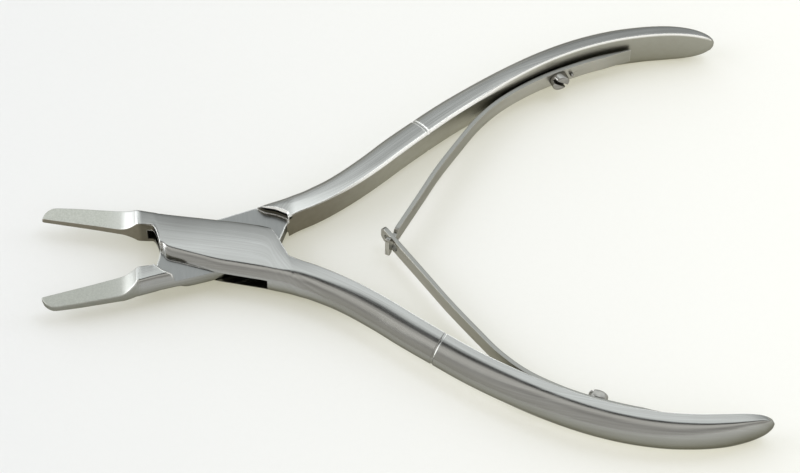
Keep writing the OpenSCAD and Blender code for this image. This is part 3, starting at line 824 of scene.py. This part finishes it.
        # painted sheen: the top of the handle near the box is painted brighter than the rest
        start_sheen = N.math("MULTIPLY", N.remap(sp.outputs[0], 0.0145, 0.0165, 0.0, 1.0), N.remap(sp.outputs[0], 0.036, 0.019, 0.0, 1.0))
        start_sheen = N.math("MULTIPLY", start_sheen, N.remap(sn.outputs[2], 0.80, 0.97, 0.0, 0.60))
        col = N.mix(start_sheen, col, N.mix(fine, (0.62, 0.625, 0.615, 1), (0.74, 0.745, 0.73, 1)))
        # the top of the handle is painted darker towards its end
        end = N.math("MULTIPLY", N.remap(sp.outputs[0], 0.058, 0.080, 0.0, 0.55), N.remap(sn.outputs[2], 0.4, 0.7, 0.0, 1.0))
        col = N.mix(end, col, (0.20, 0.20, 0.195, 1))
        # painted shade makes the tongue inside the box near black, and the wall of its rear shoulder too, under a
        # painted highlight on the chamfer
        slanted = N.math("SUBTRACT", sp.outputs[0], N.math("MULTIPLY", sp.outputs[2], 0.42))
        box_shade = N.math("MULTIPLY", N.remap(slanted, -0.0002, 0.0004, 0.0, 1.0), N.remap(sp.outputs[0], 0.0120, 0.0112, 0.0, 1.0))
        box_shade = N.math("MULTIPLY", N.math("MULTIPLY", box_shade, aside), N.remap(sp.outputs[1], 0.0, -0.001, 0.0, 1.0))
        wall_shade = N.math("MULTIPLY", N.remap(sp.outputs[0], 0.0075, 0.0080, 0.0, 1.0), N.remap(sp.outputs[0], 0.0158, 0.0154, 0.0, 1.0))
        wall_shade = N.math("MULTIPLY", N.math("MULTIPLY", wall_shade, N.remap(sn.outputs[1], -0.12, -0.25, 0.0, 1.0)), N.remap(sp.outputs[1], 0.003, 0.004, 0.0, 1.0))
        wall_shade = N.math("MULTIPLY", N.math("MULTIPLY", wall_shade, N.remap(sp.outputs[2], 0.0060, 0.0063, 0.0, 1.0)), N.remap(sn.outputs[2], 0.90, 0.80, 0.0, 1.0))
        chamfer_highlight = N.math("MULTIPLY", wall_shade, N.remap(sp.outputs[2], 0.00680, 0.00700, 0.0, 1.0))
        col = N.mix(N.math("MAXIMUM", box_shade, wall_shade), col, (0.015, 0.015, 0.014, 1))
        painted_highlights.append(N.math("MULTIPLY", chamfer_highlight, 0.9))
    if far_shade:
        # painted shade darkens the box towards its far edge
        k = N.math("MULTIPLY", N.remap(sp.outputs[1], -0.001, 0.0085, 0.0, 1.0, "LINEAR"), N.remap(sp.outputs[0], 0.017, 0.010, 0.0, 1.0))
        k = N.math("MULTIPLY", k, N.remap(sp.outputs[0], -0.0150, -0.0140, 0.0, 1.0))
        col = N.mix(N.math("MULTIPLY", k, far_shade), col, (0.0, 0.0, 0.0, 1))
    if top:
        # the thin tails of the leaves take the colour of the handles
        col = N.mix(N.remap(sp.outputs[0], 0.079, 0.0865, 0.0, 0.38), col, (0.20, 0.20, 0.165, 1))
        # painted shade: the upward faces of the leaves are painted darker
        col = N.mix(N.remap(sn.outputs[2], 0.55, 0.85, 0.0, 1.0), col, N.mix(fine, top[0], top[1]))
    if edge and inner:
        # painted highlight: the corner between the top and the inner face of each handle is painted as a bright line
        corner = N.remap(N.math("MULTIPLY", facing, sn.outputs[2]), 0.27, 0.44, 0.0, 1.0)
        wide = N.remap(N.math("MULTIPLY", facing, sn.outputs[2]), 0.10, 0.30, 0.0, 1.0)
        corner = N.math("MAXIMUM", corner, N.math("MULTIPLY", wide, N.remap(sp.outputs[0], 0.064, 0.052, 0.0, 1.0)))
        corner = N.math("MULTIPLY", corner, N.remap(sp.outputs[0], 0.016, 0.034, 0.0, 1.0))
        painted_highlights.append(corner)
    if crevice:
        # painted shade: crevices are darkened by ambient occlusion, and so are the inner faces near the tails of the
        # leaves
        ao = N.add("ShaderNodeAmbientOcclusion", samples=6, only_local=False)
        ao.inputs["Distance"].default_value = 0.0028
        k = N.remap(ao.outputs["AO"], 0.10, 0.62, 0.0, 1.0)
        if inner:
            k = N.math("MAXIMUM", k, N.math("MULTIPLY", g, N.remap(sp.outputs[0], 0.068, 0.086, 0.0, 0.85)))
        col = N.mix(k, (0.02, 0.02, 0.018, 1), col)
    if edge:
        # painted highlight: sharp corners are painted bright
        eb = N.add("ShaderNodeBevel", samples=6)
        eb.inputs["Radius"].default_value = 0.00052 if inner else 0.00016
        ge = N.add("ShaderNodeNewGeometry")
        dot = N.add("ShaderNodeVectorMath", operation="DOT_PRODUCT")
        N.link(eb.outputs[0], dot.inputs[0])
        N.link(ge.outputs["Normal"], dot.inputs[1])
        edge_highlight = N.remap(dot.outputs["Value"], 0.985, 0.925, 0.0, 1.0)
        edge_highlight = N.math("MULTIPLY", edge_highlight, N.remap(N.noise(obj, 900.0, 2.0, 0.5), 0.30, 0.50, 0.55, 1.0))
        edge_highlight = N.math("MULTIPLY", edge_highlight, edge)
        if inner:
            # not over the end of the pin, which is hidden just under the face
            off = N.math("ADD", N.math("MULTIPLY", sp.outputs[0], sp.outputs[0]), N.math("MULTIPLY", sp.outputs[1], sp.outputs[1]))
            edge_highlight = N.math("MULTIPLY", edge_highlight, N.math("GREATER_THAN", off, 0.000011))
            edge_highlight = N.math("MULTIPLY", edge_highlight, N.math("MAXIMUM", N.remap(sp.outputs[1], -0.0055, -0.0042, 0.0, 1.0), N.remap(sp.outputs[0], -0.0080, -0.0084, 0.0, 1.0)))
            edge_highlight = N.math("MULTIPLY", edge_highlight, N.math("MULTIPLY", N.remap(sp.outputs[0], -0.0135, -0.0125, 0.0, 1.0), N.remap(sp.outputs[2], 0.0035, 0.0050, 0.0, 1.0)))
        for m in painted_highlights:
            edge_highlight = N.math("MAXIMUM", edge_highlight, m)
        col = N.mix(edge_highlight, col, (0.98, 0.98, 0.96, 1))
        r = N.mixf(edge_highlight, r, 0.30)
        N.link(N.math("SUBTRACT", 1.0, N.math("MULTIPLY", edge_highlight, 0.75)), p.inputs["Metallic"])
    height = N.math("ADD", height, N.math("MULTIPLY", grain, 0.12))
    N.link(col, p.inputs["Base Color"])
    N.link(N.math("MAXIMUM", r, 0.08), p.inputs["Roughness"])
    b = N.add("ShaderNodeBump")
    b.inputs["Strength"].default_value = bump
    b.inputs["Distance"].default_value = 0.00002
    N.link(height, b.inputs["Height"])
    if bevel:
        bv = N.add("ShaderNodeBevel", samples=4)
        bv.inputs["Radius"].default_value = bevel
        N.link(bv.outputs[0], b.inputs["Normal"])
    N.link(b.outputs[0], p.inputs["Normal"])
    return mat


MILLED_WITH_SHADE = ((0.20, 0.18, 0.14, 1), (0.30, 0.28, 0.225, 1), 0.42, (0.42, 0.41, 0.355, 1), (0.55, 0.54, 0.485, 1))
JAWS = ((0.44, 0.45, 0.42, 1), (0.60, 0.61, 0.575, 1), 0.44)
BOX = steel("satin_box_lever_steel", (0.41, 0.415, 0.407, 1), (0.325, 0.325, 0.315, 1), 0.19, 0.11, (45, 3400, 1), 0.34,
            jaw=JAWS, inner=MILLED_WITH_SHADE, crevice=True, far_shade=0.52, edge=0.85)
TONGUE = steel("satin_tongue_lever_steel", (0.41, 0.415, 0.407, 1), (0.29, 0.29, 0.28, 1), 0.19, 0.12, (45, 3400, 1), 0.42,
               jaw=JAWS, inner=MILLED_WITH_SHADE, crevice=True, tongue_faces=((0.20, 0.205, 0.205, 1), (0.27, 0.275, 0.27, 1), 0.24), edge=0.85)
PIN = steel("ground_pin_steel", (0.40, 0.40, 0.39, 1), (0.34, 0.34, 0.33, 1), 0.20, 0.10, (150, 3800, 200), 0.3, coords="Object")
SPRING = steel("spring_leaf_steel", (0.54, 0.53, 0.49, 1), (0.43, 0.42, 0.38, 1), 0.31, 0.16, (60, 3200, 1), 0.35, bevel=0.00006,
               top=((0.24, 0.24, 0.23, 1), (0.32, 0.32, 0.30, 1)), edge=0.45)
SCREW = steel("turned_screw_steel", (0.40, 0.39, 0.37, 1), (0.30, 0.295, 0.28, 1), 0.22, 0.14, (900, 900, 2600), 0.3, bevel=0.00006, coords="Object", crevice=True)
for ob, m in ((box, BOX), (tongue, TONGUE), (pin, PIN), (leaves[1], SPRING), (leaves[-1], SPRING),
              *[(o, SCREW) for pr in fasteners.values() for o in pr]):
    ob.data.materials.clear()
    ob.data.materials.append(m)

# ------------------------------------------------------------------ floor, lights, camera
S = 1.6
floor = new_object("floor", [(-S, -S, FLOOR_Z * MM), (S, -S, FLOOR_Z * MM), (S, S, FLOOR_Z * MM), (-S, S, FLOOR_Z * MM)], [[0, 1, 2, 3]])
fm = bpy.data.materials.new("pale_table")
fm.use_nodes = True
N = Nodes(fm.node_tree)
fp = fm.node_tree.nodes["Principled BSDF"]
tc = N.add("ShaderNodeTexCoord")
fibre = N.noise(tc.outputs["Object"], 900.0, 3.0, 0.6)
patch = N.noise(tc.outputs["Object"], 14.0, 2.0, 0.5)
cloth = N.math("ADD", N.math("MULTIPLY", fibre, 0.4), N.math("MULTIPLY", patch, 0.6))
N.link(N.mix(cloth, (0.445, 0.458, 0.530, 1), (0.475, 0.488, 0.560, 1)), fp.inputs["Base Color"])
# painted light: the table glows by emission though no lamp is under it, which keeps the shadows faint and warm
N.link(N.mix(cloth, (0.97, 0.926, 0.62, 1), (1.0, 0.958, 0.655, 1)), fp.inputs["Emission Color"])
fx = N.add("ShaderNodeSeparateXYZ")
N.link(tc.outputs["Object"], fx.inputs[0])
# the painted glow grows brighter towards the right
N.link(N.remap(fx.outputs[0], -0.06, 0.13, 0.285, 0.43, "LINEAR"), fp.inputs["Emission Strength"])
fp.inputs["Roughness"].default_value = 0.6
fp.inputs["Specular IOR Level"].default_value = 0.25
fb = N.add("ShaderNodeBump")
fb.inputs["Strength"].default_value = 0.08
fb.inputs["Distance"].default_value = 0.0002
N.link(fibre, fb.inputs["Height"])
N.link(fb.outputs[0], fp.inputs["Normal"])
floor.data.materials.append(fm)

# a soft room: brightness by tilt of the sky about the X axis, 0 overhead, plus towards the front
world = bpy.data.worlds.new("soft_room")
bpy.context.scene.world = world
world.use_nodes = True
N = Nodes(world.node_tree)
bg = world.node_tree.nodes["Background"]
tc = N.add("ShaderNodeTexCoord")
sx = N.add("ShaderNodeSeparateXYZ")
N.link(tc.outputs["Generated"], sx.inputs[0])
tilt = N.math("ARCTAN2", N.math("MULTIPLY", sx.outputs[1], -1.0), sx.outputs[2])
# the dark gap between the overhead cloth and the front one runs aslant, nearer to overhead on the left
slant = N.math("MULTIPLY", N.math("MAXIMUM", N.math("MULTIPLY", sx.outputs[0], -1.0), 0.0), math.radians(70))
fac = N.remap(N.math("ADD", tilt, slant), -math.pi, math.pi, 0.0, 1.0, "LINEAR")
ramp = N.add("ShaderNodeValToRGB")
ramp.color_ramp.interpolation = "EASE"
COOL, WARM = (0.965, 1.0, 0.995), (1.0, 0.975, 0.92)
STOPS = [(-128, 0.95, COOL), (-110, 0.88, COOL), (-95, 0.82, COOL), (-84, 0.82, COOL), (-72, 0.90, COOL), (-60, 1.02, COOL), (-48, 1.08, COOL), (-40, 1.12, COOL),
         (-34, 1.32, COOL), (-28, 1.56, COOL), (-20, 1.56, COOL), (-12, 1.45, COOL), (-5, 1.30, COOL), (1, 1.00, COOL), (5, 0.40, COOL), (9, 0.06, WARM), (21, 0.06, WARM),
         (26, 0.40, WARM), (31, 0.95, WARM), (44, 1.02, WARM), (54, 0.92, WARM), (62, 0.70, WARM), (69, 0.50, WARM), (75, 0.55, WARM), (82, 0.70, WARM), (92, 0.72, WARM)]
TOP = 2.0
el = ramp.color_ramp.elements
while len(el) > 1:
    el.remove(el[-1])
for k, (a, v, c) in enumerate(STOPS):
    e = el[0] if k == 0 else el.new((a + 180) / 360)
    e.position = (a + 180) / 360
    e.color = (v * c[0] / TOP, v * c[1] / TOP, v * c[2] / TOP, 1)
N.link(fac, ramp.inputs[0])
# the back of the room is dimmer straight behind than to the left, where the window is
side = N.remap(sx.outputs[0], -0.26, -0.08, 0.0, 1.0)
behind = N.remap(tilt, math.radians(-44), math.radians(-33), 0.12, 0.0)
N.link(N.mix(N.math("MULTIPLY", side, behind), ramp.outputs[0], (0.0, 0.0, 0.0, 1)), bg.inputs["Color"])
bg.inputs["Strength"].default_value = TOP


def area(name, direction, dist, size_x, size_y, power, color, target=(0.03, 0, 0)):
    li = bpy.data.lights.new(name, "AREA")
    li.shape = "RECTANGLE"
    li.size, li.size_y = size_x, size_y
    li.energy = power
    li.color = color
    ob = bpy.data.objects.new(name, li)
    d = Vector(direction).normalized()
    ob.location = Vector(target) + d * dist
    ob.rotation_euler = (-d).to_track_quat("-Z", "Y").to_euler()
    bpy.context.scene.collection.objects.link(ob)
    return ob


key = area("key_softbox", (0.36, 0.14, 0.92), 0.9, 0.32, 0.22, 0.75, (0.97, 0.985, 1.0))
key.visible_glossy = False
area("left_window", (-0.94, 0.12, 0.34), 1.1, 0.75, 1.4, 10.5, (0.97, 0.99, 1.0))
card = area("right_card", (0.93, 0.10, 0.36), 1.0, 0.5, 0.6, 2.2, (1.0, 0.99, 0.97))
card.visible_glossy = False
fill = area("overhead_fill", (0.10, -0.10, 1.0), 1.4, 2.6, 2.2, 1.5, (1.0, 0.99, 0.96))
fill.visible_glossy = False

cam_data = bpy.data.cameras.new("photo_view")
cam = bpy.data.objects.new("photo_view", cam_data)
bpy.context.scene.collection.objects.link(cam)
right = Vector((0.997842, -0.064817, 0.010501))
down = Vector((-0.04866, -0.837324, -0.544538))
ahead = Vector((0.044088, 0.542852, -0.838671))
m = Matrix((right, -down, -ahead)).transposed().to_4x4()
m.translation = Vector((12.914, -291.555, 456.279)) * MM
cam.matrix_world = m
cam_data.sensor_width = 36
cam_data.lens = 122.716
cam_data.clip_start, cam_data.clip_end = 0.01, 20
bpy.context.scene.camera = cam

vs = bpy.context.scene.view_settings
vs.view_transform = "Standard"
vs.look = "None"
vs.exposure = 0.0
vs.gamma = 1.0
